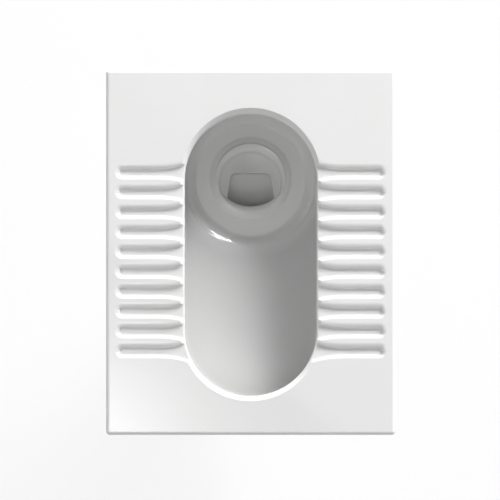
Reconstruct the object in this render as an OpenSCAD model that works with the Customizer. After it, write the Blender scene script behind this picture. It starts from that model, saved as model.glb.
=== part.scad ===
// Squat toilet pan with its flush inlet, trap and soil outlet, in millimetres.
// X runs across the pan, +Y towards the outlet end and +Z up. The origin is the centre of the
// underside of the deck's skirt, the face that beds on the floor.

/* [Deck] */
// Width of the deck, side to side
deck_w = 475; // [470:1:480]
// Length of the deck, front to rear
deck_l = 600; // [596:1:608]
// Height of the deck, from its bed to its top face
deck_h = 35; // [34:0.5:36]
// Thickness of the deck's plate
plate_t = 12; // [11:0.5:13]
// Thickness of the down-turned skirt
skirt_t = 12; // [10:0.5:13]
// Radius of the deck's top edge
edge_r = 6; // [4:0.5:7]

/* [Footrest grooves] */
// Grooves on each side
groove_count = 10; // [8:1:10]
// Distance from one groove to the next
groove_pitch = 32.6; // [31:0.1:33]
// Centre of the rearmost groove
groove_rear_y = 131.8; // [130:0.1:134]
// Width of a groove over its straight length
groove_w = 21; // [18:0.5:22]
// Width of a groove where it runs out into the bowl
groove_mouth_w = 32.5; // [28:0.5:33]
// Depth of a groove
groove_depth = 5.5; // [4:0.5:6]
// Distance from the deck's side to the groove's end
groove_margin = 16; // [13:0.5:18]
// Half-width at which a groove starts to flare
groove_flare_x = 149; // [145:1:155]

/* [Bowl] */
// Half-width of the bowl's opening, and radius of its round ends
lip_half_w = 108.3; // [107:0.1:109]
// Centre of the opening's front arc
lip_front_y = -128; // [-130:1:-126]
// Centre of the opening's rear arc
lip_rear_y = 119; // [118:1:120]
// Radius of the rolled lip
lip_r = 7.6; // [6:0.1:8]
// Half-width of the trough, inside
trough_half_w = 122; // [120:1:124]
// Radius of the trough's dished floor
trough_dish_r = 900; // [600:50:1200]
// Radius between the trough's floor and its walls
trough_fillet_r = 40; // [34:1:44]
// Depth of the trough under the centre of the front arc
trough_depth = 110; // [106:1:112]
// Fall of the trough towards the sump, in degrees
trough_fall = 5; // [4:0.25:5.5]
// Thickness of the fired ceramic wall
wall = 10; // [9:0.5:11]

/* [Sump and outlet] */
// Centre of the sump
sump_y = 125; // [124:0.5:126]
// Radius of the sump's edge
sump_r = 113; // [111:0.5:114]
// Depth of the sump at the ring round the outlet
sump_depth = 133; // [132:0.5:135]
// Centre of the outlet
outlet_y = 117; // [116:0.5:118]
// Radius of the outlet's mouth
outlet_r = 51; // [49:0.5:52]
// How far the front lip reaches over the outlet's mouth
outlet_lip = 11.5; // [8:0.5:13]
// Centre of the spigot, forward of the outlet so that the passage runs in under the front lip
spigot_y = 92; // [90:0.5:94]
// Bore radius of the spigot
spigot_bore_r = 50; // [48:0.5:50]
// Depth of the spigot's lower end
spigot_depth = 240; // [238:1:243]

/* [Flushing rim and inlet] */
// Depth of the rim's underside
rim_depth = 45; // [44:0.5:46]
// Thickness of the rim's walls
rim_wall = 8; // [7:0.5:8]
// Thickness of the lip's apron
apron_t = 6; // [5:0.5:6]
// Width of the water channel in the rim
channel_w = 21.7; // [20:0.1:22]
// Diameter of a wash hole
wash_hole_d = 5; // [4:0.5:5.5]
// Distance from one wash hole to the next
wash_pitch = 24.7; // [24:0.1:30]
// Depth of the inlet horn's axis
horn_depth = 80; // [79:0.5:82]
// Bore of the inlet horn
horn_bore_d = 55; // [54:0.5:56]
// Bore of the rubber cone, for a 32 mm flush pipe
flush_pipe_d = 32; // [30:0.5:34]

/* [Trap] */
// Outside diameter of the soil pipe
pipe_d = 110; // [108:0.5:110]
// Wall of the soil pipe
pipe_t = 3.2; // [3:0.1:4]
// Radius of the lower bend's centre line
ubend_r = 72; // [71:0.5:74]
// Radius of the crest bend's and the elbow's centre line
crest_r = 66; // [65:0.5:68]
// Depth of the lower bend's centre
ubend_depth = 300; // [299:1:305]
// Straight riser between the two bends
riser_l = 26; // [24:1:28]
// Length of the soil outlet's straight end
outlet_tail_l = 50; // [45:1:60]
// Bore of the cleanout
cleanout_bore_d = 56; // [50:1:58]

/* [Hidden] */
$fn = 96;
eps = 1;
glaze = "white";
bisque = "gainsboro";
rubber = "dimgray";
plastic = "whitesmoke";

// Deck
plate_z = deck_h - plate_t;
inner_w = deck_w - 2 * skirt_t;
inner_l = deck_l - 2 * skirt_t;
rib_t = 10;
rib_y = 95;
flare_dip = 1.5;
flare_root = 10;

// Rim: its channel runs between the apron and the outer wall
rim_z = deck_h - rim_depth;
channel_in = lip_half_w + apron_t;
channel_out = channel_in + channel_w;
rim_out = channel_out + rim_wall;
wash_offset = channel_in + wash_hole_d / 2 + 0.5;
wash_side_l = lip_rear_y - lip_front_y;
wash_side_count = floor(wash_side_l / wash_pitch);
wash_arc_count = floor(PI * wash_offset / wash_pitch);

// Trough: a dished pocket with round ends, tilted about the centre of its front arc
trough_floor_z = deck_h - trough_depth;
trough_h = 130;
trough_l = (lip_rear_y - lip_front_y) / cos(trough_fall);

// Sump, as [radius, height] pairs from its wall, over the crease and the valley, to the ring
ring_z = deck_h - sump_depth;
sump_top_z = rim_z - 26;
sump_floor_z = ring_z - 15;
sump_inside = [
    [sump_r, ring_z + 20], [sump_r - 3, ring_z + 13.5], [93, ring_z - 2], [90, ring_z - 3.8],
    [72, ring_z - 5], [69, ring_z - 4.4], [61, ring_z - 0.4], [58.5, ring_z]
];
sump_outside = [
    [sump_r + wall, ring_z + 12], [93 + wall, ring_z - 7], [77, sump_floor_z]
];
mouth_h = 7;
mouth_lip_r = 65.5;
mouth_lip_y = outlet_y - outlet_r + outlet_lip + mouth_lip_r;

// Spigot: a funnel under the outlet, then a rounded ramp that turns the flow forward and down
spigot_z = deck_h - spigot_depth;
spigot_r = spigot_bore_r + wall;
spigot_roof_z = sump_floor_z - 5;
funnel_h = 34;
funnel_wall = 9;
shaft_rear_y = outlet_y + 17;
ramp_r = 50;
ramp_y = spigot_y + ramp_r;
ramp_z = sump_floor_z - 29 - ramp_r;

// Inlet horn
horn_z = deck_h - horn_depth;
horn_r = horn_bore_d / 2 + 5.5;
horn_end_y = deck_l / 2 - 5;
chamber_w = 80;
chamber_z = horn_z - horn_r - 2;
chamber_rear_y = inner_l / 2 - 4;
chamber_front_y = lip_rear_y + rim_out;
inlet_slot_w = 56;
cone_flange_t = 3;
cone_l = 22;
cone_rib_d = 1.5;

// Trap
pipe_r = pipe_d / 2;
bore_r = pipe_r - pipe_t;
ubend_z = deck_h - ubend_depth;
ubend_y = spigot_y - ubend_r;
riser_y = ubend_y - ubend_r;
crest_z = ubend_z + riser_l + crest_r;
crest_y = riser_y - crest_r;
socket_t = 4;
pan_socket_r = 66;
pan_socket_z = spigot_z - 6;
pan_socket_top_z = spigot_z + 38;
outlet_socket_l = 48;
socket_gap = 0.3;
riser_collar = 8;
ring_groove_w = 10;
ring_groove_d = 4.5;
elbow_y = crest_y - outlet_socket_l - 8;
elbow_z = crest_z - crest_r;
tail_z = elbow_z - outlet_tail_l;
tail_y = elbow_y - crest_r;

// Cleanout
boss_r = cleanout_bore_d / 2 + 4;
boss_z = ubend_z - 40;
boss_root_y = ubend_y + ubend_r + 16;
boss_end_y = boss_root_y + 56;
cap_gap = 0.4;
cap_t = 3;
cap_skirt_l = 13;
seal_t = 2;
cap_in_r = boss_r + cap_gap;
cap_lug_count = 8;
cap_lug_r = cap_in_r + cap_t + 2;
cap_lug_w = 6;
cap_lug_inset = 1.5;
cap_bar_l = 40;
cap_bar_t = 6;
cap_bar_h = 8;

// Pill shape with its round ends on the bowl's two arcs
module pill(half_w) {
    translate([-half_w, lip_front_y]) square([2 * half_w, lip_rear_y - lip_front_y]);
    translate([0, lip_front_y]) circle(half_w);
    translate([0, lip_rear_y]) circle(half_w);
}

module pill_block(half_w, low_z, high_z) {
    translate([0, 0, low_z]) linear_extrude(high_z - low_z) pill(half_w);
}

// Block with rounded plan corners and a rolled top edge
module rolled_block(w, l, h, r) {
    intersection() {
        linear_extrude(h) rounded_plan(w, l, r);
        translate([0, l / 2, 0]) rotate([90, 0, 0]) linear_extrude(l) rolled_end(w, h, r);
        translate([-w / 2, 0, 0]) rotate([90, 0, 90]) linear_extrude(w) rolled_end(l, h, r);
    }
}

module rounded_plan(w, l, r) {
    square([w - 2 * r, l], center = true);
    square([w, l - 2 * r], center = true);
    for (x = [-1, 1], y = [-1, 1]) {
        translate([x * (w / 2 - r), y * (l / 2 - r)]) circle(r);
    }
}

module rolled_end(w, h, r) {
    translate([-w / 2, 0]) square([w, h - r]);
    translate([-w / 2 + r, 0]) square([w - 2 * r, h]);
    for (x = [-1, 1]) {
        translate([x * (w / 2 - r), h - r]) circle(r);
    }
}

// Radius of a round cutter that is half_w wide on each side at the surface and depth deep
function cutter_r(half_w, depth) = (half_w * half_w + depth * depth) / (2 * depth);

// One groove on the +X side: round end, straight length, then a flare that dips towards the bowl
module groove() {
    r = cutter_r(groove_w / 2, groove_depth);
    mouth = cutter_r(groove_mouth_w / 2, groove_depth);
    end_x = deck_w / 2 - groove_margin - groove_w / 2;
    flare_l = groove_flare_x - lip_half_w + lip_r;
    flare_angle = atan((mouth - r) / flare_l);
    flare_root_r = r - flare_root * tan(flare_angle);
    translate([groove_flare_x - eps, 0, deck_h - groove_depth + r]) rotate([0, 90, 0])
        cylinder(r = r, h = end_x - groove_flare_x + eps);
    translate([end_x, 0, deck_h - groove_depth + r]) sphere(r);
    translate([groove_flare_x, 0, deck_h - groove_depth]) rotate([0, flare_angle - flare_dip, 0])
        translate([flare_root, 0, r]) rotate([0, -90, 0])
            cylinder(r1 = flare_root_r, r2 = mouth, h = flare_l + flare_root);
}

// What the rolled lip takes off the edge of the opening
module lip_roll() {
    translate([0, lip_rear_y, 0]) rotate_extrude(angle = 180) lip_profile();
    translate([0, lip_front_y, 0]) rotate([0, 0, 180]) rotate_extrude(angle = 180) lip_profile();
    for (x = [0, 1]) {
        mirror([x, 0, 0]) translate([0, lip_rear_y, 0]) rotate([90, 0, 0])
            linear_extrude(lip_rear_y - lip_front_y) lip_profile();
    }
}

module lip_profile() {
    difference() {
        translate([lip_half_w - eps, deck_h - lip_r]) square([lip_r + eps, lip_r + eps]);
        translate([lip_half_w + lip_r, deck_h - lip_r]) circle(lip_r);
    }
}

module deck() {
    color(glaze) difference() {
        rolled_block(deck_w, deck_l, deck_h, edge_r);
        translate([-inner_w / 2, -inner_l / 2, -eps]) cube([inner_w, inner_l, plate_z + eps]);
        pill_block(lip_half_w, -eps, deck_h + eps);
        lip_roll();
        for (i = [0:groove_count - 1], side = [0, 1]) {
            mirror([side, 0, 0]) translate([0, groove_rear_y - i * groove_pitch, 0]) groove();
        }
    }
}

module underside_ribs() {
    color(bisque) for (side = [-1, 1], y = [-rib_y, rib_y]) {
        translate([side * (rim_out + inner_w / 2) / 2, y, plate_z / 2])
            cube([inner_w / 2 - rim_out, rib_t, plate_z], center = true);
    }
}

// Wash holes follow the channel, close to the apron
module wash_holes() {
    for (side = [-1, 1], i = [0:wash_side_count - 1]) {
        translate([side * wash_offset, lip_front_y + (i + 0.5) * wash_side_l / wash_side_count, 0])
            wash_hole();
    }
    for (i = [0:wash_arc_count - 1]) {
        a = (i + 0.5) * 180 / wash_arc_count;
        translate([wash_offset * cos(a), lip_rear_y + wash_offset * sin(a), 0]) wash_hole();
        translate([wash_offset * cos(a), lip_front_y - wash_offset * sin(a), 0]) wash_hole();
    }
}

module wash_hole() {
    translate([0, 0, rim_z - eps]) cylinder(d = wash_hole_d, h = rim_wall + 2 * eps, $fn = 24);
}

module flushing_rim() {
    color(glaze) difference() {
        pill_block(rim_out, rim_z, plate_z);
        pill_block(lip_half_w, rim_z - eps, plate_z + eps);
        difference() {
            pill_block(channel_out, rim_z + rim_wall, plate_z + eps);
            pill_block(channel_in, rim_z, plate_z + 2 * eps);
        }
        wash_holes();
        translate([-inlet_slot_w / 2, lip_rear_y + channel_out - rim_wall, rim_z + rim_wall])
            cube([inlet_slot_w, 3 * rim_wall, plate_z - rim_z - rim_wall - 2]);
    }
}

// Trough's pocket, grown outwards by t, with a half-turn at each end
module trough(t) {
    translate([0, lip_front_y, trough_floor_z]) rotate([-trough_fall, 0, 0]) {
        rotate([0, 0, 180]) rotate_extrude(angle = 180) trough_section(t);
        for (x = [0, 1]) {
            mirror([x, 0, 0]) translate([0, trough_l, 0]) rotate([90, 0, 0])
                linear_extrude(trough_l) trough_section(t);
        }
        translate([0, trough_l, 0]) rotate_extrude(angle = 180) trough_section(t);
    }
}

// Half of its section: a dished floor, a fillet and an upright wall
module trough_section(t) {
    dish_r = trough_dish_r + t;
    fillet_r = trough_fillet_r + t;
    fillet_x = trough_half_w - trough_fillet_r;
    fillet_z = trough_dish_r - sqrt(pow(dish_r - fillet_r, 2) - pow(fillet_x, 2));
    intersection() {
        translate([0, trough_dish_r]) circle(dish_r, $fn = 360);
        translate([0, -t]) square([fillet_x * dish_r / (dish_r - fillet_r), fillet_z + t]);
    }
    translate([fillet_x, fillet_z]) circle(fillet_r);
    translate([0, fillet_z]) square([trough_half_w + t, trough_h - fillet_z]);
}

module sump_block() {
    translate([0, sump_y, 0]) rotate_extrude() polygon(concat(
        [[0, sump_floor_z], [0, sump_top_z], [sump_r + wall, sump_top_z]], sump_outside
    ));
}

// Dished floor with a raised ring
module sump_hollow() {
    translate([0, sump_y, 0]) rotate_extrude() polygon(concat(
        [[0, ring_z], [0, sump_top_z + eps], [sump_r, sump_top_z + eps]], sump_inside
    ));
}

// Mouth of the outlet: a round bore with a flatter front lip, flared at the top
module outlet_mouth() {
    intersection() {
        translate([0, outlet_y, sump_floor_z - eps]) cylinder(r = outlet_r, h = 3 * wall);
        translate([0, mouth_lip_y, sump_floor_z - eps]) cylinder(r = mouth_lip_r, h = 3 * wall);
    }
    intersection() {
        translate([0, outlet_y, ring_z - mouth_h])
            cylinder(r1 = outlet_r, r2 = outlet_r + mouth_h, h = mouth_h + 0.5);
        translate([0, mouth_lip_y, ring_z - mouth_h])
            cylinder(r1 = mouth_lip_r, r2 = mouth_lip_r + mouth_h, h = mouth_h + 0.5);
    }
}

module bowl() {
    color(glaze) difference() {
        union() {
            trough(wall);
            sump_block();
        }
        trough(0);
        sump_hollow();
        outlet_mouth();
        translate([-deck_w, -deck_l, rim_z]) cube([2 * deck_w, 2 * deck_l, 2 * deck_w]);
    }
}

module outlet_spigot() {
    color(bisque) {
        difference() {
            union() {
                translate([0, outlet_y, sump_floor_z - funnel_h - funnel_wall])
                    cylinder(r1 = outlet_r - funnel_h + funnel_wall, r2 = outlet_r + funnel_wall,
                        h = funnel_h + funnel_wall);
                translate([0, spigot_y, spigot_z]) cylinder(r = spigot_r, h = sump_floor_z - spigot_z);
            }
            spigot_passage();
        }
        intersection() {
            spigot_passage();
            translate([-outlet_r, ramp_y, ramp_z]) rotate([0, 90, 0])
                cylinder(r = ramp_r, h = 2 * outlet_r);
        }
    }
}

// Funnel and bore, with the bore closed off behind the shaft's rear wall
module spigot_passage() {
    translate([0, outlet_y, sump_floor_z - funnel_h])
        cylinder(r1 = outlet_r - funnel_h, r2 = outlet_r, h = funnel_h);
    difference() {
        translate([0, spigot_y, spigot_z]) cylinder(r = spigot_bore_r, h = spigot_roof_z - spigot_z);
        translate([-outlet_r, shaft_rear_y, ramp_z])
            cube([2 * outlet_r, ramp_r, spigot_roof_z - ramp_z + eps]);
    }
}

// Chamber behind the rim, which the horn fills from the rear
module inlet_horn() {
    inside_w = chamber_w - 2 * rim_wall;
    color(bisque) difference() {
        union() {
            translate([-chamber_w / 2, chamber_front_y - rim_wall, chamber_z])
                cube([chamber_w, chamber_rear_y - chamber_front_y + rim_wall, plate_z - chamber_z]);
            translate([0, chamber_rear_y - eps, horn_z]) rotate([-90, 0, 0])
                cylinder(r = horn_r, h = horn_end_y - chamber_rear_y + eps);
        }
        translate([-inside_w / 2, chamber_front_y, chamber_z + rim_wall])
            cube([inside_w, chamber_rear_y - rim_wall - chamber_front_y, plate_z - chamber_z]);
        translate([-inside_w / 2, chamber_front_y - 2 * rim_wall, rim_z])
            cube([inside_w, 3 * rim_wall, plate_z - rim_z + eps]);
        pill_block(rim_out, rim_z, plate_z + eps);
        translate([0, chamber_front_y + rim_wall, horn_z]) rotate([-90, 0, 0])
            cylinder(d = horn_bore_d, h = horn_end_y - chamber_front_y);
        trough(wall);
    }
}

module flush_cone() {
    r = horn_bore_d / 2;
    color(rubber) translate([0, horn_end_y, horn_z]) rotate([90, 0, 0]) difference() {
        union() {
            translate([0, 0, -cone_flange_t]) cylinder(r = horn_r, h = cone_flange_t);
            cylinder(r = r - cone_rib_d, h = cone_l - cone_flange_t);
            for (i = [0:1]) {
                translate([0, 0, 3 + 8 * i]) cylinder(r1 = r, r2 = r - cone_rib_d, h = 4);
            }
        }
        translate([0, 0, -cone_flange_t - eps]) cylinder(d = flush_pipe_d, h = cone_l + 2 * eps);
    }
}

module pan_connector() {
    sleeve_h = pan_socket_top_z - spigot_z;
    color(rubber) translate([0, spigot_y, spigot_z]) difference() {
        union() {
            cylinder(r = pan_socket_r, h = sleeve_h);
            translate([0, 0, sleeve_h]) cylinder(r = pan_socket_r + socket_t + 1, h = 4);
        }
        translate([0, 0, -eps]) cylinder(r = spigot_r, h = sleeve_h + 4 + 2 * eps);
    }
}

// Bend in the YZ plane about the origin, from the start angle and counter-clockwise
module bend(centre_r, start, sweep) {
    rotate([90, 0, 90]) rotate([0, 0, start]) rotate_extrude(angle = sweep)
        translate([centre_r, 0]) children();
}

module pipe_ring() {
    difference() {
        circle(pipe_r);
        circle(bore_r);
    }
}

module tube(r, in_r, h) {
    linear_extrude(h) difference() {
        circle(r);
        circle(in_r);
    }
}

module trap_ubend() {
    color(plastic) {
        difference() {
            union() {
                translate([0, ubend_y, ubend_z]) bend(ubend_r, 180, 180) circle(pipe_r);
                translate([0, boss_root_y, boss_z]) rotate([-90, 0, 0])
                    cylinder(r = boss_r, h = boss_end_y - boss_root_y);
                translate([0, riser_y, ubend_z - riser_collar])
                    cylinder(r = pipe_r + socket_t, h = riser_collar);
            }
            translate([0, ubend_y, ubend_z]) bend(ubend_r, 180, 180) circle(bore_r);
            translate([0, boss_root_y, boss_z]) rotate([-90, 0, 0])
                cylinder(d = cleanout_bore_d, h = boss_end_y - boss_root_y + eps);
        }
        translate([0, riser_y, ubend_z]) tube(pipe_r + socket_t, pipe_r, riser_l);
        translate([0, spigot_y, ubend_z]) tube(pipe_r, bore_r, pan_socket_z - socket_t - ubend_z);
        translate([0, spigot_y, pan_socket_z - socket_t]) tube(pan_socket_r + socket_t, bore_r, socket_t);
        translate([0, spigot_y, pan_socket_z])
            tube(pan_socket_r + socket_t, pan_socket_r, pan_socket_top_z - pan_socket_z);
    }
}

module trap_crest_bend() {
    color(plastic) {
        translate([0, riser_y, ubend_z]) tube(pipe_r, bore_r, riser_l);
        translate([0, crest_y, crest_z - crest_r]) bend(crest_r, 0, 90) pipe_ring();
        translate([0, crest_y, crest_z]) rotate([90, 0, 0]) outlet_socket();
    }
}

module outlet_socket() {
    difference() {
        union() {
            cylinder(r = pipe_r + socket_t, h = outlet_socket_l);
            translate([0, 0, outlet_socket_l - ring_groove_w - 10])
                cylinder(r = pipe_r + ring_groove_d + socket_t, h = ring_groove_w + 10);
        }
        translate([0, 0, -eps]) cylinder(r = bore_r, h = socket_t + 2 * eps);
        translate([0, 0, socket_t]) cylinder(r = pipe_r + socket_gap, h = outlet_socket_l);
        translate([0, 0, outlet_socket_l - ring_groove_w - 6])
            cylinder(r = pipe_r + ring_groove_d, h = ring_groove_w);
    }
}

module crest_socket_ring() {
    color(rubber) translate([0, crest_y, crest_z]) rotate([90, 0, 0])
        translate([0, 0, outlet_socket_l - ring_groove_w - 6])
            tube(pipe_r + ring_groove_d, pipe_r, ring_groove_w);
}

module outlet_elbow() {
    color(plastic) {
        translate([0, elbow_y, crest_z]) rotate([-90, 0, 0])
            tube(pipe_r, bore_r, crest_y - socket_t - eps - elbow_y);
        translate([0, elbow_y, elbow_z]) bend(crest_r, 90, 90) pipe_ring();
        translate([0, tail_y, tail_z]) tube(pipe_r, bore_r, outlet_tail_l);
    }
}

module cleanout_cap() {
    top_z = cap_gap + seal_t + cap_t;
    color(plastic) translate([0, boss_end_y, boss_z]) rotate([-90, 0, 0]) difference() {
        union() {
            translate([0, 0, -cap_skirt_l]) cylinder(r = cap_in_r + cap_t, h = cap_skirt_l + top_z);
            translate([0, 0, -cap_skirt_l + cap_lug_inset])
                linear_extrude(cap_skirt_l + top_z - 2 * cap_lug_inset) cap_lugs();
            translate([-cap_bar_l / 2, -cap_bar_t / 2, top_z - eps])
                cube([cap_bar_l, cap_bar_t, cap_bar_h + eps]);
        }
        translate([0, 0, -cap_skirt_l - eps])
            cylinder(r = cap_in_r, h = cap_skirt_l + cap_gap + seal_t + eps);
    }
}

// Grip lugs round the cap's skirt, as one star with a round heart
module cap_lugs() {
    circle(cap_in_r + cap_t / 2);
    for (i = [0:cap_lug_count / 2 - 1]) {
        rotate([0, 0, i * 360 / cap_lug_count]) square([2 * cap_lug_r, cap_lug_w], center = true);
    }
}

module cleanout_seal() {
    color(rubber) translate([0, boss_end_y + cap_gap, boss_z]) rotate([-90, 0, 0]) difference() {
        cylinder(r = boss_r, h = seal_t);
        translate([0, 0, -eps]) cylinder(d = cleanout_bore_d, h = seal_t + 2 * eps);
    }
}

deck();
underside_ribs();
flushing_rim();
bowl();
outlet_spigot();
inlet_horn();
flush_cone();
pan_connector();
trap_ubend();
trap_crest_bend();
crest_socket_ring();
outlet_elbow();
cleanout_cap();
cleanout_seal();
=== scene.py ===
import math

import bpy
import numpy as np
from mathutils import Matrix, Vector


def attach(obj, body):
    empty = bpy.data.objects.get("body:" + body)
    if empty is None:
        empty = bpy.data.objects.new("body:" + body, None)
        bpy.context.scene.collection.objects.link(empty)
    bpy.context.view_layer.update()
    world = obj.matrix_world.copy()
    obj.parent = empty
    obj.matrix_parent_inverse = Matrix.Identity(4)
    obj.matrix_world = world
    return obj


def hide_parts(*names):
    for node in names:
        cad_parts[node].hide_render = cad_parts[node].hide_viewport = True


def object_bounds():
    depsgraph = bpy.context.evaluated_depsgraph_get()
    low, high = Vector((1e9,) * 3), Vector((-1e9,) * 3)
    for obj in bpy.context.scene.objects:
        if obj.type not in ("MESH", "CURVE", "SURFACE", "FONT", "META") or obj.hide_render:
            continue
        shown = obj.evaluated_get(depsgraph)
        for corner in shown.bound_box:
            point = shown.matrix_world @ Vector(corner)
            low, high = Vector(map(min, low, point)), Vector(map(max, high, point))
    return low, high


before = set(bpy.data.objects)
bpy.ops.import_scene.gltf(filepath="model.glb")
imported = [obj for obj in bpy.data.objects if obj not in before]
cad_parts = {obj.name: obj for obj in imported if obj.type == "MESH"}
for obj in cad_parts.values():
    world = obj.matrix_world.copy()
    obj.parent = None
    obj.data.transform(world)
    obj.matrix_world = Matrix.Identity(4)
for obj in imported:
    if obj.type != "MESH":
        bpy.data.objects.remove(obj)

MM = 0.001
CAD_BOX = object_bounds()

# Deck
DECK_HALF_W = 237.5
DECK_HALF_L = 300.0
DECK_TOP = 35.0
PLATE_BOTTOM = 23.0
EDGE_R = 6.0
CORNER_R = 6.5
EDGE_RINGS = 8
UNDERSIDE_IN = 36.0             # from the lip to the last ring of the plate's underside
UNDERSIDE_SHARES = (0.35, 0.7, 1.0)
CORNER_POINTS = (16, 9, 22)     # on the side, round the corner and on the end

# The deck's skirt: heights of the rings outside it, its foot's bevel and the glaze's reach under
# the foot
SKIRT = 12.0
SKIRT_LEVELS = (20, 8, 2.5)
SKIRT_MIDDLE = 11.0
FOOT_BEVEL = 0.6
FOOT_GLAZE = 2.2

# Bowl's opening: a pill with round ends about these two centres, and a lip that is wider at the
# rear. LIP_SHARES are the lip's rings in hundredths of its width, from the opening outwards.
LIP_HALF_W = 108.3
LIP_FRONT_Y = -128.0
LIP_REAR_Y = 119.0
LIP_BAND = 7.6
LIP_BAND_REAR = 10.0
LIP_SHARES = (100, 99, 97, 94, 90, 85, 78, 65, 50, 35, 20, 8, 5, 3, 1.5, 0)
APRON_SHARE = 0.8               # of the upright inner face that has rings of its own
APRON_RINGS = 4

# Footrest grooves: a ledge and a riser at the rear, a wall in front, a round outer end and a curved
# flare at the bowl
GROOVES = 10
GROOVE_PITCH = 32.6
GROOVE_REAR_Y = 131.8
GROOVE_HALF_W = 11.3
GROOVE_DEPTH = 5.5
GROOVE_END_X = 210.5
GROOVE_FOOT_REAR = 4.7
GROOVE_FOOT_FRONT = 7.0
GROOVE_STEP_W = 2.4
GROOVE_LEDGE_SLOPE = 0.34
GROOVE_LEAST_WALL = 1.5
GROOVE_FLARE_X = 149.0
GROOVE_FLARE_L = 60.0
GROOVE_FLARE = 0.0031           # widening per square of the way along the flare
GROOVE_TAPER = 0.4              # share of the widening that its foot takes
GROOVE_EDGE = 0.9
GROOVE_FOOT = 0.9
NEARLY_0 = 0.01

# Rays across the deck's side: their number per groove, how many lie behind the rearmost groove's
# middle, and where they end in front. TOP_SHARES are the rings between the lip and the deck's edge,
# close together where the grooves begin and end.
GROOVE_STEPS = 36
SIDE_LEAD = 17
SIDE_FRONT_Y = -180.0
TOP_SHARES = np.concatenate([
    [0.004], np.linspace(0, 0.29, 17)[1:], np.linspace(0.29, 0.80, 10)[1:],
    np.linspace(0.80, 0.99, 20)[1:], [1.0]])

# Trough: a dished pocket with round ends, tilted about the centre of its front arc
TROUGH_HALF_W = 122.0
TROUGH_DISH_R = 900.0
TROUGH_FILLET_R = 18.0
TROUGH_TOP_Z = -75.0
TROUGH_FALL = math.radians(5)
TROUGH_L = (LIP_REAR_Y - LIP_FRONT_Y) / math.cos(TROUGH_FALL)
TROUGH_PASSES = 80
TROUGH_RINGS = 36
STEEPEST = 10.0
WALL = 10.0
RIM_BOTTOM = -10.0

# Sump, a dish with a raised ring round the outlet. Its front stands forward of a true circle.
SUMP_Y = 125.0
SUMP_ANCHOR = (105.5, -88.6)
SUMP_BLEND = 13.0
SUMP_FRONT_SHIFT = 6.5
SUMP_SHIFT_START = 74.0
SUMP_SHIFT_W = 26.0
SUMP_BEYOND_SLOPE = 20
SUMP_RADII = np.concatenate([
    np.arange(59.5, 68, 1.2), np.arange(68.2, 72, 0.5), np.arange(73, 89, 2),
    np.arange(89.4, 94, 0.5), np.arange(95, 109, 1.3)])
SUMP_WALL_START = 100
SUMP_WALL_LEVELS = np.linspace(-83, -40, 14)
RING_R = 58.5
BOWL_BOTTOM = -113.0

# Outlet: a hole with a straighter front lip, and a funnel under its edge
OUTLET_Y = 118.0
HOLE_Y, HOLE_R = 116.8, 51.2
FRONT_LIP_Y, FRONT_LIP_R = 143.0, 65.7
HOLE_DROP = 8.0
HOLE_ROLL = 0.94                # share of a quarter-ellipse that the hole's edge rolls over
FUNNEL_SLOPE = 0.80
FUNNEL_STEP = 0.4
FUNNEL_RINGS = HOLE_RINGS = 14

# Recess under the outlet, its rolled lip, its sloping shelf and the liner that goes on down
RECESS_REAR_Y, RECESS_FRONT_Y, RECESS_CORNER_R = 133.4, 40.0, 9.0
RECESS_HALF_W = 34.0
RECESS_SPREAD = 0.13
RECESS_LIP_W, RECESS_LIP_DROP = 2.2, 1.3
RECESS_WALL_SHARES = (0.06, 0.2, 0.45, 0.75, 1.0)
RECESS_LIP_ANGLES = (18, 36, 54, 72, 90)
RECESS_ARC_POINTS, RECESS_LINE_POINTS = 14, 12
BORE_Y, BORE_R = 92.0, 45.5
SHELF_REAR_Z = -141.0
SHELF_EDGE = (80.0, -157.0)
SHELF_EDGE_R = 5.0
SHELF_TURN_END = math.pi / 2 - 0.05
SHELF_POINTS = 12
LINER_T = 3.6
LINER_TAPER = 1.0
LINER_BOTTOM = -186.0
LINER_OVERLAP = 0.5             # of its outer surface, past the recess's rear wall
LINER_RINGS, LINER_OUTER_RINGS = 30, 16

# Outer shell of the bowl: its least wall at the top, its outer wall, the radii of the rings below
# that, and its room round the hole
SHELL_LEAST_WALL = 6
SHELL_WALL_R = 124.6
SHELL_RADII = (124.5, 124.0, 123.6, 123.2, 122.8, 122.3, 121.5, 120, 117, 112, 106, 100, 92, 85,
               80, 76)
SHELL_HOLE_GAP = 6
SHELL_DROP = 3                  # of its underside, from the hole to the liner
SHELL_FUNNEL_GAP = 5
SHELL_WALL_RINGS, SHELL_UNDER_RINGS = 24, 9
RING_BUNCHING = 1.5             # power that bunches the rings of the trough and of the shell

# Rays from the outlet's centre, on which every ring of the bowl has its points
RAYS = 384
RAY_ANGLES = np.linspace(0, 2 * math.pi, RAYS, endpoint=False)
DX, DY = np.cos(RAY_ANGLES), np.sin(RAY_ANGLES)
RANGE_NEAR, RANGE_FAR, RANGE_PASSES = 90.0, 420.0, 40

PROFILE_STEP = 0.05


def add_mesh(name, points, faces, materials, face_material=None):
    """A smooth mesh object from points in millimetres."""
    mesh = bpy.data.meshes.new(name)
    mesh.from_pydata((np.asarray(points) * MM).tolist(), [], [tuple(f) for f in faces])
    mesh.polygons.foreach_set("use_smooth", [True] * len(mesh.polygons))
    for m in materials:
        mesh.materials.append(m)
    if face_material is not None:
        mesh.polygons.foreach_set("material_index", np.asarray(face_material, dtype=np.int32))
    mesh.update()
    made = bpy.data.objects.new(name, mesh)
    bpy.context.scene.collection.objects.link(made)
    return made


def ring_faces(n_rings, n_points):
    """Quads of a closed tube: rings follow one another and the last one meets the first."""
    i, j = np.meshgrid(np.arange(n_rings), np.arange(n_points), indexing="ij")
    i2, j2 = (i + 1) % n_rings, (j + 1) % n_points
    corners = [i * n_points + j, i * n_points + j2, i2 * n_points + j2, i2 * n_points + j]
    return np.stack(corners, -1).reshape(-1, 4)


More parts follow.
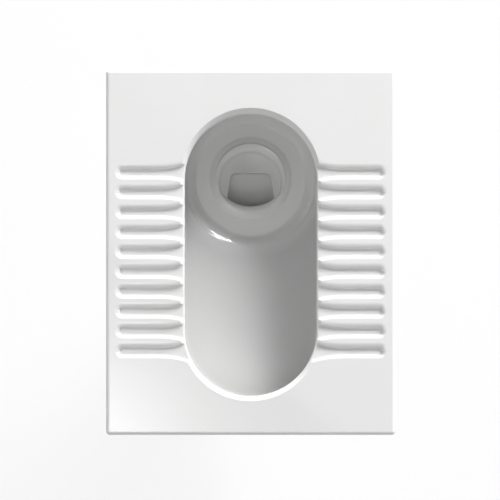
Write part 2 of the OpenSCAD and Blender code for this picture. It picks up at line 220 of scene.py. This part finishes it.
def smooth_min(a, b, k):
    """The lower of a and b, with a soft corner of width k."""
    h = np.maximum(k - np.abs(a - b), 0) / k
    return np.minimum(a, b) - h * h * k / 4


def smooth_positive(x, width):
    """0 below zero and x above it, with a soft corner."""
    return 0.5 * (x + np.sqrt(x * x + width * width))


def profile(table, anchor):
    """Heights from a table of (radius, slope in degrees), through anchor = (radius, height)."""
    table = np.array(table, float)
    r = np.arange(table[0, 0], table[-1, 0], PROFILE_STEP)
    slope = np.tan(np.radians(np.interp(r, table[:, 0], table[:, 1])))
    z = np.concatenate([[0], np.cumsum((slope[1:] + slope[:-1]) / 2 * PROFILE_STEP)])
    return r, z + anchor[1] - np.interp(anchor[0], r, z)


# The lip from its outer edge inwards, in hundredths of its width: a tight turn, a bevel and an
# upright end
LIP = profile([(0, 0), (3, 30), (8, 42), (50, 44), (80, 52), (93, 68), (98, 78), (100, 82)], (0, 0))
LIP_DROP = LIP[1][-1] / 100 * LIP_BAND

# Sump: ring, its foot, the valley, the crease, the sloping wall and the upright one
SUMP = profile([(48, 0), (55, 0), (58.5, -3), (62, -15), (66, -22), (68.6, -22), (69.6, -8),
                (70.8, 0), (74, 3), (88, 4), (90.3, 6), (92.2, 38), (95, 42), (107.5, 43),
                (109, 60), (110.5, 75), (111.5, 84), (113.5, 87), (116, 87.5)], SUMP_ANCHOR)
SUMP_OUT = profile([(40, 0), (75, 0), (79, 17), (101, 17), (105, 43), (120, 43), (122.3, 70),
                    (124, 86), (127, 87)], (60, BOWL_BOTTOM))
CREST_Z = float(np.interp(RING_R, *SUMP))
HOLE_Z = CREST_Z - HOLE_DROP


# ---------------------------------------------------------------- deck

def groove_height(x, y):
    """Height of the groove's surface over the deck's top; positive where there is no groove."""
    x = np.abs(x)
    row = np.clip(np.round((GROOVE_REAR_Y - y) / GROOVE_PITCH), 0, GROOVES - 1)
    across = y - (GROOVE_REAR_Y - row * GROOVE_PITCH)
    out = np.hypot(across, np.maximum(x - GROOVE_END_X, 0))
    frontward = np.clip(-across / np.maximum(out, NEARLY_0), 0, 1)

    wider = GROOVE_FLARE * np.clip(GROOVE_FLARE_X - x, 0, GROOVE_FLARE_L)**2
    out = out - wider
    narrower = wider * GROOVE_TAPER

    step = GROOVE_DEPTH / GROOVE_STEP_W
    riser = smooth_positive(out - GROOVE_FOOT_REAR - narrower, GROOVE_FOOT) * step - GROOVE_DEPTH
    ledge = (out - GROOVE_HALF_W) * GROOVE_LEDGE_SLOPE
    rear = smooth_min(riser, ledge, GROOVE_EDGE)

    wall = np.maximum(GROOVE_HALF_W - GROOVE_FOOT_FRONT - narrower, GROOVE_LEAST_WALL)
    past_foot = smooth_positive(out - GROOVE_FOOT_FRONT - narrower, GROOVE_FOOT)
    front = past_foot * GROOVE_DEPTH / wall - GROOVE_DEPTH
    return rear + (front - rear) * frontward


def arc_side(y, radius):
    """X of the opening's outline, offset to radius, at y, on the right-hand side."""
    over = np.maximum(np.maximum(y - LIP_REAR_Y, LIP_FRONT_Y - y), 0)
    return np.sqrt(radius**2 - over**2)


def corner_path(x0, y0, x1, y1, sign):
    """Points and normals along the flat top's edge from the side, round a corner, to the middle."""
    side_points, turn_points, end_points = CORNER_POINTS
    r = CORNER_R - EDGE_R
    cx, cy = x0 - r, y1 - sign * r
    side = [((x0, y), (1, 0)) for y in np.linspace(y0, cy, side_points)]
    turn = []
    for a in np.linspace(0, math.pi / 2, turn_points)[1:-1]:
        n = (math.cos(a), sign * math.sin(a))
        turn.append(((cx + r * n[0], cy + r * n[1]), n))
    end = [((x, y1), (0, sign)) for x in np.linspace(cx, x1, end_points)]
    return side + turn + end


def deck_rays():
    """For every ray: the lip's outer edge and its normal, the flat top's edge and its normal."""
    top_x, top_y = DECK_HALF_W - EDGE_R, DECK_HALF_L - EDGE_R
    band = LIP_HALF_W + LIP_BAND
    step = GROOVE_PITCH / GROOVE_STEPS
    rear = GROOVE_REAR_Y + SIDE_LEAD * step
    side_y = rear - step * np.arange(int((rear - SIDE_FRONT_Y) / step) + 1)
    rows = []
    for y in side_y:
        x = arc_side(y, band)
        over = min(y - LIP_FRONT_Y, 0) + max(y - LIP_REAR_Y, 0)
        rows.append(((x, y), (x / band, over / band), (top_x, y), (1, 0)))

    # Round the front and the rear, the rays fan out from the centres of the opening's round ends
    for y0, centre, sign in ((side_y[-1], LIP_FRONT_Y, -1), (side_y[0], LIP_REAR_Y, 1)):
        seen0 = math.atan2(abs(y0 - centre), top_x)
        start = math.asin(abs(y0 - centre) / band)
        part = []
        for point, normal in corner_path(top_x, y0, 0, sign * top_y, sign)[1:]:
            seen = math.atan2(abs(point[1] - centre), point[0])
            a = start + (seen - seen0) * (math.pi / 2 - start) / (math.pi / 2 - seen0)
            n = (math.cos(a), sign * math.sin(a))
            part.append(((band * n[0], centre + band * n[1]), n, point, normal))
        rows = rows + part if sign < 0 else part[::-1] + rows
    right = np.array([[*a, *b, *c, *d] for a, b, c, d in rows])
    left = right[::-1][1:-1] * np.array([-1, 1, -1, 1, -1, 1, -1, 1])
    return np.vstack([right, left])


def build_deck(materials):
    """The top plate with its lip, grooves and skirt, in rings that follow the bowl's opening."""
    rays = deck_rays()
    roll, normal, edge, edge_normal = rays[:, 0:2], rays[:, 2:4], rays[:, 4:6], rays[:, 6:8]
    centre = roll - normal * (LIP_HALF_W + LIP_BAND)
    rearward = np.clip(normal[:, 1:2], 0, 1) ** 2
    band = LIP_BAND + (LIP_BAND_REAR - LIP_BAND) * rearward
    rings = []

    def add_ring(xy, z):
        rings.append(np.hstack([xy, np.full((len(rays), 1), float(z))]))

    # Upright face of the opening, and the lip
    lip_foot = DECK_TOP - LIP_DROP
    for t in np.linspace(0, APRON_SHARE, APRON_RINGS):
        add_ring(centre + normal * LIP_HALF_W, PLATE_BOTTOM + (lip_foot - PLATE_BOTTOM) * t)
    for share in LIP_SHARES:
        drop = float(np.interp(share, *LIP)) / 100 * LIP_BAND
        add_ring(centre + normal * (LIP_HALF_W + band * (1 - share / 100)), DECK_TOP - drop)

    # Top
    start = centre + normal * (LIP_HALF_W + band)
    for t in TOP_SHARES:
        add_ring(start + (edge - start) * t, DECK_TOP)
    top_rings = len(rings)

    # Rounded edge, skirt and foot
    for a in np.linspace(0, math.pi / 2, EDGE_RINGS)[1:]:
        add_ring(edge + edge_normal * EDGE_R * math.sin(a), DECK_TOP - EDGE_R * (1 - math.cos(a)))
    outer = edge + edge_normal * EDGE_R
    for z in SKIRT_LEVELS:
        add_ring(outer, z)
    add_ring(outer - edge_normal * FOOT_BEVEL, FOOT_BEVEL)
    add_ring(outer - edge_normal * FOOT_GLAZE, 0)
    glazed_rings = len(rings) - 1

    # Inside of the skirt, and the plate's underside
    inner_corner = np.array([DECK_HALF_W - SKIRT, DECK_HALF_L - SKIRT])
    inner = np.clip(outer, -inner_corner, inner_corner)
    for z in (0, SKIRT_MIDDLE, PLATE_BOTTOM):
        add_ring(inner, z)
    under = centre + normal * (LIP_HALF_W + UNDERSIDE_IN)
    for t in UNDERSIDE_SHARES:
        add_ring(inner + (under - inner) * t, PLATE_BOTTOM)

    points = np.stack(rings)
    x, y, z = np.moveaxis(points[:top_rings], -1, 0)
    points[:top_rings, :, 2] = smooth_min(z, DECK_TOP + groove_height(x, y), GROOVE_EDGE)
    faces = ring_faces(len(rings), len(rays))
    unglazed = faces[:, 0] // len(rays) >= glazed_rings
    return add_mesh("deck_shell", points.reshape(-1, 3), faces, materials, unglazed)


# ---------------------------------------------------------------- bowl

def trough_section(u, grow):
    """Height over the trough's floor at u from its middle: a dish, a fillet and a wall."""
    dish_r, fillet_r = TROUGH_DISH_R + grow, TROUGH_FILLET_R + grow
    fillet_x = TROUGH_HALF_W - TROUGH_FILLET_R
    fillet_z = TROUGH_DISH_R - math.sqrt((dish_r - fillet_r) ** 2 - fillet_x**2)
    meet = fillet_x * dish_r / (dish_r - fillet_r)
    steep = fillet_r * STEEPEST / math.sqrt(1 + STEEPEST**2)
    dish = TROUGH_DISH_R - np.sqrt(dish_r**2 - np.minimum(u, meet) ** 2)
    side = np.clip(u - fillet_x, 0, steep)
    fillet = fillet_z - np.sqrt(fillet_r**2 - side**2)
    return np.where(u < meet, dish, fillet) + np.maximum(u - fillet_x - steep, 0) * STEEPEST


def trough(x, y, grow=0.0):
    """Height of the trough's surface, grown outwards. The tilt is solved for in small steps."""
    fall_s, fall_c = math.sin(TROUGH_FALL), math.cos(TROUGH_FALL)
    high = np.zeros_like(x)
    for _ in range(TROUGH_PASSES):
        along = (y - LIP_FRONT_Y - high * fall_s) / fall_c
        over = np.maximum(np.maximum(along - TROUGH_L, -along), 0)
        high = trough_section(np.hypot(x, over), grow)
    return TROUGH_TOP_Z - along * fall_s + high * fall_c


def sump_height(rho, table):
    """Height at radius rho, and a steep wall beyond the table's last radius."""
    return np.interp(rho, *table) + np.maximum(rho - table[0][-1], 0) * SUMP_BEYOND_SLOPE


def bowl_inside(x, y):
    """Height of the glazed surface: the trough, with the sump cut into it."""
    rho = np.hypot(x, y - SUMP_Y)
    frontward = np.clip((SUMP_Y - y) / np.maximum(rho, 1), 0, 1)
    outer = np.clip((rho - SUMP_SHIFT_START) / SUMP_SHIFT_W, 0, 1)
    rho = rho - SUMP_FRONT_SHIFT * frontward * outer
    return smooth_min(trough(x, y), sump_height(rho, SUMP), SUMP_BLEND)


def bowl_outside(x, y):
    """Height of the shell's outer surface."""
    rho = np.hypot(x, y - SUMP_Y)
    return smooth_min(trough(x, y, WALL), sump_height(rho, SUMP_OUT), SUMP_BLEND)


def on_rays(distance):
    """X and Y at distance along each ray."""
    return distance * DX, OUTLET_Y + distance * DY


def ring(distance, z):
    """Points at distance along each ray and at height z."""
    x, y = on_rays(distance)
    return np.stack([x, y, np.broadcast_to(z, x.shape)], -1)


def circle_range(centre_y, r):
    """Distance along each ray to a circle about (0, centre_y)."""
    oy = OUTLET_Y - centre_y
    b = DY * oy
    return -b + np.sqrt(b * b - oy * oy + r * r)


def level_range(surface, level):
    """Distance along each ray at which surface reaches level."""
    lo, hi = np.full(RAYS, RANGE_NEAR), np.full(RAYS, RANGE_FAR)
    for _ in range(RANGE_PASSES):
        mid = (lo + hi) / 2
        below = surface(*on_rays(mid)) < level
        lo, hi = np.where(below, mid, lo), np.where(below, hi, mid)
    return lo


def recess_half(y):
    """Half-width of the recess under the outlet, which widens a little forwards."""
    return RECESS_HALF_W + (RECESS_REAR_Y - y) * RECESS_SPREAD


def recess_range(grow=0.0):
    """Distance along each ray to the recess's outline: round corners at the rear, the bore in
    front."""
    rear, front, r = RECESS_REAR_Y + grow, RECESS_FRONT_Y - grow, RECESS_CORNER_R
    points = []
    for end, side, a0 in ((rear, 1, 0), (rear, -1, 90), (front, -1, 180), (front, 1, 270)):
        cy = end - r if end == rear else end + r
        cx = side * (recess_half(end) + grow - r)
        for a in np.radians(np.linspace(a0, a0 + 90, RECESS_ARC_POINTS)):
            points.append((cx + r * math.cos(a), cy + r * math.sin(a)))
    points = np.array(points + points[:1])
    share = np.linspace(0, 1, RECESS_LINE_POINTS, endpoint=False)[:, None]
    points = np.concatenate([a + (b - a) * share for a, b in zip(points[:-1], points[1:])])
    angle = np.arctan2(points[:, 1] - OUTLET_Y, points[:, 0])
    order = np.argsort(angle)
    reach = np.hypot(points[:, 0], points[:, 1] - OUTLET_Y)[order]
    reach = np.interp(np.arctan2(DY, DX), angle[order], reach, period=2 * math.pi)
    in_front = OUTLET_Y + reach * DY < BORE_Y
    return np.where(in_front, np.minimum(reach, circle_range(BORE_Y, BORE_R + grow)), reach)


def shelf(grow=0.0):
    """The recess's floor from its rear wall over its edge to the liner's end: lengths, y and z."""
    slope = math.atan2(SHELF_EDGE[1] - SHELF_REAR_Z, SHELF_EDGE[0] - RECESS_REAR_Y)
    fall = slope + math.pi
    r = SHELF_EDGE_R
    middle = (SHELF_EDGE[0] + r * math.sin(fall), SHELF_EDGE[1] - r * math.cos(fall))
    path = [(RECESS_REAR_Y, SHELF_REAR_Z)]
    for a in np.linspace(fall, SHELF_TURN_END, SHELF_POINTS):
        path.append((middle[0] - r * math.sin(a), middle[1] + r * math.cos(a)))
    path.append((path[-1][0] - LINER_TAPER, LINER_BOTTOM))
    path = np.array(path)
    step = np.gradient(path, axis=0)
    step /= np.linalg.norm(step, axis=1)[:, None]
    path = path + grow * np.stack([-step[:, 1], step[:, 0]], -1)
    if grow:
        behind = (RECESS_REAR_Y + grow + LINER_OVERLAP, path[0, 1] + LINER_OVERLAP)
        path = np.concatenate([[behind], path])
    length = np.concatenate([[0], np.cumsum(np.hypot(*np.diff(path, axis=0).T))])
    return length, path[:, 0], path[:, 1]


def slide(distance, s, path):
    """The recess's outline, moved down the shelf by the share s of the way to the liner's end."""
    length, along, height = path
    x, y = on_rays(distance)
    start = np.interp(-y, -along, length)
    at = start + (length[-1] - start) * s
    front = y < along[-1]
    z = np.where(front, LINER_BOTTOM, np.interp(at, length, height))
    return np.stack([x, np.where(front, y, np.interp(at, length, along)), z], -1)


def funnel(distance):
    """Height of the funnel under the hole's edge."""
    x, y = on_rays(distance)
    return HOLE_Z - FUNNEL_STEP - np.maximum(HOLE_R - np.hypot(x, y - HOLE_Y), 0) * FUNNEL_SLOPE


def bunched(n):
    """n shares from 1 to 0, which lie closer together towards 0."""
    return (1 - np.linspace(0, 1, n)) ** RING_BUNCHING


def throat_rings(recess, hole, crest):
    """From the liner's lower end up the shelf, the recess's wall and the funnel to the crest."""
    path = shelf()
    rings = [slide(recess, s, path) for s in np.linspace(1, 0, LINER_RINGS)]
    floor = rings[-1][:, 2]
    lip = recess + RECESS_LIP_W
    low, high = funnel(recess) - RECESS_LIP_DROP, funnel(lip)
    for t in RECESS_WALL_SHARES:
        rings.append(ring(recess, floor + (low - floor) * t))
    for a in np.radians(RECESS_LIP_ANGLES):
        d = recess + RECESS_LIP_W * (1 - math.cos(a))
        rings.append(ring(d, low + (high - low) * math.sin(a)))
    for t in np.linspace(0, 1, FUNNEL_RINGS)[1:-1]:
        d = lip + (hole - lip) * t
        rings.append(ring(d, funnel(d)))

    def ellipse(t):
        return 1 - math.sqrt(1 - t**2)

    for t in np.linspace(1, 0, HOLE_RINGS):
        fall = ellipse(HOLE_ROLL * t) / ellipse(HOLE_ROLL)
        rings.append(ring(crest + (hole - crest) * t, CREST_Z - HOLE_DROP * fall))
    return rings


def basin_rings(edge):
    """From the ring's crest over the sump and the trough to the bowl's upper edge."""
    radii, heights = (part[SUMP[0] > SUMP_WALL_START] for part in SUMP)
    wall_radii = np.interp(SUMP_WALL_LEVELS, heights, radii)
    rings = []
    for rho in np.concatenate([SUMP_RADII, wall_radii]):
        d = circle_range(SUMP_Y, rho)
        rings.append(ring(d, bowl_inside(*on_rays(d))))
    last = d
    for t in 1 - bunched(TROUGH_RINGS)[1:]:
        d = last + (edge - last) * t
        rings.append(ring(d, np.minimum(bowl_inside(*on_rays(d)), RIM_BOTTOM)))
    return rings


def shell_rings(recess, hole, edge):
    """From the bowl's upper edge down outside it, and on down outside the liner."""
    top = level_range(lambda x, y: trough(x, y, WALL), RIM_BOTTOM)
    top = np.maximum(top, edge + SHELL_LEAST_WALL)
    wall = circle_range(SUMP_Y, SHELL_WALL_R)
    rings = []
    for t in bunched(SHELL_WALL_RINGS)[:-1]:
        d = wall + (top - wall) * t
        rings.append(ring(d, np.minimum(bowl_outside(*on_rays(d)), RIM_BOTTOM)))
    for rho in SHELL_RADII:
        d = circle_range(SUMP_Y, rho)
        rings.append(ring(d, bowl_outside(*on_rays(d))))
    under = np.maximum(hole + SHELL_HOLE_GAP, recess)
    for t in np.linspace(0, 1, SHELL_UNDER_RINGS):
        d = under + (recess - under) * t
        z = np.minimum(BOWL_BOTTOM - SHELL_DROP * t, funnel(d) - SHELL_FUNNEL_GAP * t)
        rings.append(ring(d, z))
    path = shelf(LINER_T)
    return rings + [slide(recess, s, path) for s in np.linspace(0, 1, LINER_OUTER_RINGS)]


def build_bowl(materials):
    """Trough, sump, outlet and liner, as one shell of rings."""
    hole = np.minimum(circle_range(HOLE_Y, HOLE_R), circle_range(FRONT_LIP_Y, FRONT_LIP_R))
    edge = level_range(trough, RIM_BOTTOM)
    rings = throat_rings(recess_range(), hole, circle_range(SUMP_Y, RING_R)) + basin_rings(edge)
    glazed_rings = len(rings)
    rings += shell_rings(recess_range(LINER_T), hole, edge)
    faces = ring_faces(len(rings), RAYS)[:, ::-1]
    unglazed = faces[:, 0] // RAYS >= glazed_rings
    return add_mesh("bowl_shell", np.stack(rings).reshape(-1, 3), faces, materials, unglazed)


# ---------------------------------------------------------------- materials

def shader(name):
    """A new material, its node tree and its Principled BSDF."""
    m = bpy.data.materials.new(name)
    m.use_nodes = True
    return m, m.node_tree, m.node_tree.nodes["Principled BSDF"]


def plug(tree, value, socket):
    """Links an output to a socket, or writes a constant on it."""
    if isinstance(value, bpy.types.NodeSocket):
        tree.links.new(value, socket)
    else:
        socket.default_value = value


def colour_of(rgb):
    """An opaque colour."""
    return (*rgb, 1)


def coordinates(tree):
    """The object's own coordinates."""
    return tree.nodes.new("ShaderNodeTexCoord").outputs["Object"]


def axes(tree, vector):
    """X, Y and Z of a vector."""
    split = tree.nodes.new("ShaderNodeSeparateXYZ")
    tree.links.new(vector, split.inputs[0])
    return split.outputs


def reckon(tree, operation, *values):
    """Result of a math node."""
    node = tree.nodes.new("ShaderNodeMath")
    node.operation = operation
    for value, socket in zip(values, node.inputs):
        plug(tree, value, socket)
    return node.outputs[0]


def noise(tree, scale, detail=2.0, roughness=0.5):
    """Noise in the object's own coordinates."""
    n = tree.nodes.new("ShaderNodeTexNoise")
    n.inputs["Scale"].default_value = scale
    n.inputs["Detail"].default_value = detail
    n.inputs["Roughness"].default_value = roughness
    tree.links.new(coordinates(tree), n.inputs["Vector"])
    return n.outputs["Fac"]


def spread(tree, value, low, high, start=0.3, stop=0.7, interpolation="LINEAR"):
    """Maps the range from start to stop on to the range from low to high."""
    m = tree.nodes.new("ShaderNodeMapRange")
    m.interpolation_type = interpolation
    m.inputs["From Min"].default_value, m.inputs["From Max"].default_value = start, stop
    m.inputs["To Min"].default_value, m.inputs["To Max"].default_value = low, high
    tree.links.new(value, m.inputs["Value"])
    return m.outputs["Result"]


def tint(tree, factor, a, b):
    """A colour between a and b, each of them a colour or an output."""
    m = tree.nodes.new("ShaderNodeMix")
    m.data_type = "RGBA"
    plug(tree, a, m.inputs["A"])
    plug(tree, b, m.inputs["B"])
    tree.links.new(factor, m.inputs["Factor"])
    return m.outputs["Result"]


def clouds(tree, dark, light, scale, detail=2.0, roughness=0.5):
    """Faint clouds between two colours."""
    share = spread(tree, noise(tree, scale, detail, roughness), 0, 1)
    return tint(tree, share, colour_of(dark), colour_of(light))


def bump(tree, height, distance, strength):
    """A normal that follows height."""
    b = tree.nodes.new("ShaderNodeBump")
    b.inputs["Distance"].default_value = distance
    b.inputs["Strength"].default_value = strength
    tree.links.new(height, b.inputs["Height"])
    return b.outputs["Normal"]


def finish(m, tree, p, ior, colour, roughness, normal):
    """Plugs colour, roughness and normal into the Principled BSDF."""
    p.inputs["IOR"].default_value = ior
    tree.links.new(colour, p.inputs["Base Color"])
    tree.links.new(roughness, p.inputs["Roughness"])
    tree.links.new(normal, p.inputs["Normal"])
    return m


def glaze(name, dark, light):
    """A white glaze with faint clouds."""
    m, tree, p = shader(name)
    return finish(m, tree, p, 1.52, clouds(tree, dark, light, 9, 3),
                  spread(tree, noise(tree, 60, 4), 0.03, 0.06),
                  bump(tree, noise(tree, 14, 1), 0.0004, 0.25))


def paint_shade_and_light(m, centre, near, far, white, grey_from, grey_to, grey):
    """Painted shade: greyer up the wall towards the rim; painted light: whiter about a point."""
    tree = m.node_tree
    base = tree.nodes["Principled BSDF"].inputs["Base Color"]
    where = coordinates(tree)
    height = axes(tree, where)["Z"]
    # Painted shade: the glaze turns grey towards the rim, up the bowl's upper wall
    up = spread(tree, height, 0, 1, grey_from, grey_to, "SMOOTHSTEP")
    shaded_wall_colour = tint(tree, up, base.links[0].from_socket, colour_of(grey))
    away = tree.nodes.new("ShaderNodeVectorMath")
    away.operation = "DISTANCE"
    away.inputs[1].default_value = centre
    tree.links.new(where, away.inputs[0])
    # Painted light: the glaze turns whiter towards the point, a pool of light round the outlet
    share = spread(tree, away.outputs["Value"], 0, 1, far, near, "SMOOTHSTEP")
    tree.links.new(tint(tree, share, shaded_wall_colour, colour_of(white)), base)
    return m


def bisque():
    """Unglazed ceramic, rough and a little stained."""
    m, tree, p = shader("unglazed_ceramic")
    return finish(m, tree, p, 1.5,
                  clouds(tree, (0.74, 0.70, 0.63), (0.80, 0.77, 0.71), 18, 6, 0.6),
                  spread(tree, noise(tree, 90, 4), 0.7, 0.92),
                  bump(tree, noise(tree, 700, 6, 0.7), 0.0004, 0.5))


def plastic():
    """Moulded PVC of the trap."""
    m, tree, p = shader("moulded_pvc")
    return finish(m, tree, p, 1.53,
                  clouds(tree, (0.66, 0.66, 0.65), (0.71, 0.71, 0.70), 12, 3),
                  spread(tree, noise(tree, 45, 6, 0.7), 0.26, 0.44),
                  bump(tree, noise(tree, 900, 3), 0.0001, 0.4))


def rubber():
    """Black rubber of the cone, the sleeve and the seals."""
    m, tree, p = shader("black_rubber")
    return finish(m, tree, p, 1.5,
                  clouds(tree, (0.022, 0.022, 0.023), (0.045, 0.045, 0.046), 70, 5),
                  spread(tree, noise(tree, 200, 5), 0.55, 0.8),
                  bump(tree, noise(tree, 1500, 4), 0.0001, 0.5))


GLAZE = glaze("white_glaze", (0.755, 0.755, 0.75), (0.77, 0.77, 0.77))
# Painted shade and light: a darker copy of the white glaze, greyer up the wall, whiter round the
# outlet
SHADED_BOWL_GLAZE = paint_shade_and_light(
    glaze("shaded_bowl_glaze", (0.585, 0.585, 0.58), (0.60, 0.60, 0.60)),
    centre=(0.0, 0.13, -0.12), near=0.09, far=0.15, white=(0.88, 0.88, 0.875),
    grey_from=-0.070, grey_to=-0.045, grey=(0.44, 0.44, 0.435))
BISQUE, PLASTIC, RUBBER = bisque(), plastic(), rubber()

deck = build_deck([GLAZE, BISQUE])
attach(deck, "pan")
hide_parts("deck")

bowl = build_bowl([SHADED_BOWL_GLAZE, BISQUE])
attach(bowl, "pan")
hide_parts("bowl")

KEPT = {
    "flushing_rim": GLAZE, "underside_ribs": BISQUE, "outlet_spigot": BISQUE, "inlet_horn": BISQUE,
    "flush_cone": RUBBER, "pan_connector": RUBBER, "crest_socket_ring": RUBBER,
    "cleanout_seal": RUBBER, "trap_ubend": PLASTIC, "trap_crest_bend": PLASTIC,
    "outlet_elbow": PLASTIC, "cleanout_cap": PLASTIC,
}
for name, material in KEPT.items():
    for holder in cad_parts[name].material_slots:
        holder.material = material


# ---------------------------------------------------------------- studio, in metres

FLOOR_SIZE = 14
FLOOR_GAP = 0.0003              # under the object's lowest point
FLOOR_SHOWN = 0.85              # share of plain white in what a camera or glossy ray sees of it
FLOOR_COLOUR, FLOOR_ROUGHNESS = (0.86, 0.86, 0.86), 0.9
DOME_LOW, DOME_HIGH = 1.0, 0.12
CAMERA_X, CAMERA_Y, CAMERA_Z = -0.0011, 0.0038, 5.0
CLIP_END = 100
VIEW_W = 0.82
SENSOR_W = 36.0


def plane(name, size_x, size_y, material):
    """A stage piece, size_x by size_y metres."""
    x, y = size_x / 2 / MM, size_y / 2 / MM
    o = add_mesh(name, [(-x, -y, 0), (x, -y, 0), (x, y, 0), (-x, y, 0)], [(0, 1, 2, 3)], [material])
    return o


def shown_to(tree, *kinds):
    """1 for the named kinds of ray and 0 for the others."""
    path = tree.nodes.new("ShaderNodeLightPath")
    shown = path.outputs[kinds[0]]
    for kind in kinds[1:]:
        shown = reckon(tree, "MAXIMUM", shown, path.outputs[kind])
    return shown


def mix_shaders(tree, factor, a, b):
    """Shader a where factor is 0 and b where it is 1."""
    mix = tree.nodes.new("ShaderNodeMixShader")
    for value, socket in zip((factor, a, b), mix.inputs):
        tree.links.new(value, socket)
    return mix.outputs[0]


def floor_material():
    """White to the eye and a plain grey to the light, and clear from below."""
    m, tree, p = shader("floor")
    p.inputs["Base Color"].default_value = colour_of(FLOOR_COLOUR)
    p.inputs["Roughness"].default_value = FLOOR_ROUGHNESS
    white = tree.nodes.new("ShaderNodeEmission")
    share = reckon(tree, "MULTIPLY", shown_to(tree, "Is Camera Ray", "Is Glossy Ray"), FLOOR_SHOWN)
    top = mix_shaders(tree, share, p.outputs[0], white.outputs[0])
    clear = tree.nodes.new("ShaderNodeBsdfTransparent")
    below = tree.nodes.new("ShaderNodeNewGeometry").outputs["Backfacing"]
    both = mix_shaders(tree, below, top, clear.outputs[0])
    tree.links.new(both, tree.nodes["Material Output"].inputs["Surface"])
    return m


def softbox(name, direction, distance, size, strength, fade):
    """A rectangular light with soft edges, which lies in direction from the pan and faces it."""
    m, tree, p = shader(name)
    tree.nodes.remove(p)
    split = axes(tree, coordinates(tree))
    level = strength
    for axis, width in zip("XY", size):
        off = reckon(tree, "ABSOLUTE", split[axis])
        share = spread(tree, off, 0, 1, width / 2, width / 2 - fade, "SMOOTHSTEP")
        level = reckon(tree, "MULTIPLY", share, level)
    lamp = tree.nodes.new("ShaderNodeEmission")
    tree.links.new(level, lamp.inputs["Strength"])
    tree.links.new(lamp.outputs[0], tree.nodes["Material Output"].inputs["Surface"])
    o = plane(name, *size, m)
    d = Vector(direction).normalized()
    o.location = d * distance
    o.rotation_euler = d.to_track_quat("Z", "Y").to_euler()
    o.visible_camera = False


def build_world():
    """Plain white to the eye, and a dome that dims upwards for the light on the object."""
    world = bpy.data.worlds.new("studio")
    world.use_nodes = True
    tree = world.node_tree
    seen = tree.nodes["Background"]
    ambient = tree.nodes.new("ShaderNodeBackground")
    for background in (seen, ambient):
        background.inputs["Color"].default_value = (1, 1, 1, 1)
    seen.inputs["Strength"].default_value = 1.0
    up = axes(tree, tree.nodes.new("ShaderNodeTexCoord").outputs["Generated"])["Z"]
    dome = spread(tree, up, DOME_LOW, DOME_HIGH, 0.0, 1.0)
    tree.links.new(dome, ambient.inputs["Strength"])
    shown = shown_to(tree, "Is Camera Ray", "Is Transmission Ray", "Is Glossy Ray")
    both = mix_shaders(tree, shown, ambient.outputs[0], seen.outputs[0])
    tree.links.new(both, tree.nodes["World Output"].inputs["Surface"])
    return world


floor = plane("floor", FLOOR_SIZE, FLOOR_SIZE, floor_material())
floor.location.z = CAD_BOX[0][2] - FLOOR_GAP
softbox("key_light", direction=(0.4266, 0.8195, 0.3827), distance=9.0, size=(2.85, 3.17),
        strength=45.0, fade=0.02)
softbox("fill_light", direction=(-0.48, -0.58, 3.0), distance=3.1, size=(1.1, 1.1),
        strength=8.0, fade=0.55)
bpy.context.scene.world = build_world()

# Straight down, as the photograph was taken, and a little off the pan's middle
cam = bpy.data.cameras.new("camera")
cam.sensor_width = SENSOR_W
cam.lens = SENSOR_W * CAMERA_Z / VIEW_W
cam.clip_end = CLIP_END
camera = bpy.data.objects.new("camera", cam)
camera.location = (CAMERA_X, CAMERA_Y, CAMERA_Z + DECK_TOP * MM)
bpy.context.scene.collection.objects.link(camera)
bpy.context.scene.camera = camera
bpy.context.scene.view_settings.view_transform = "Standard"
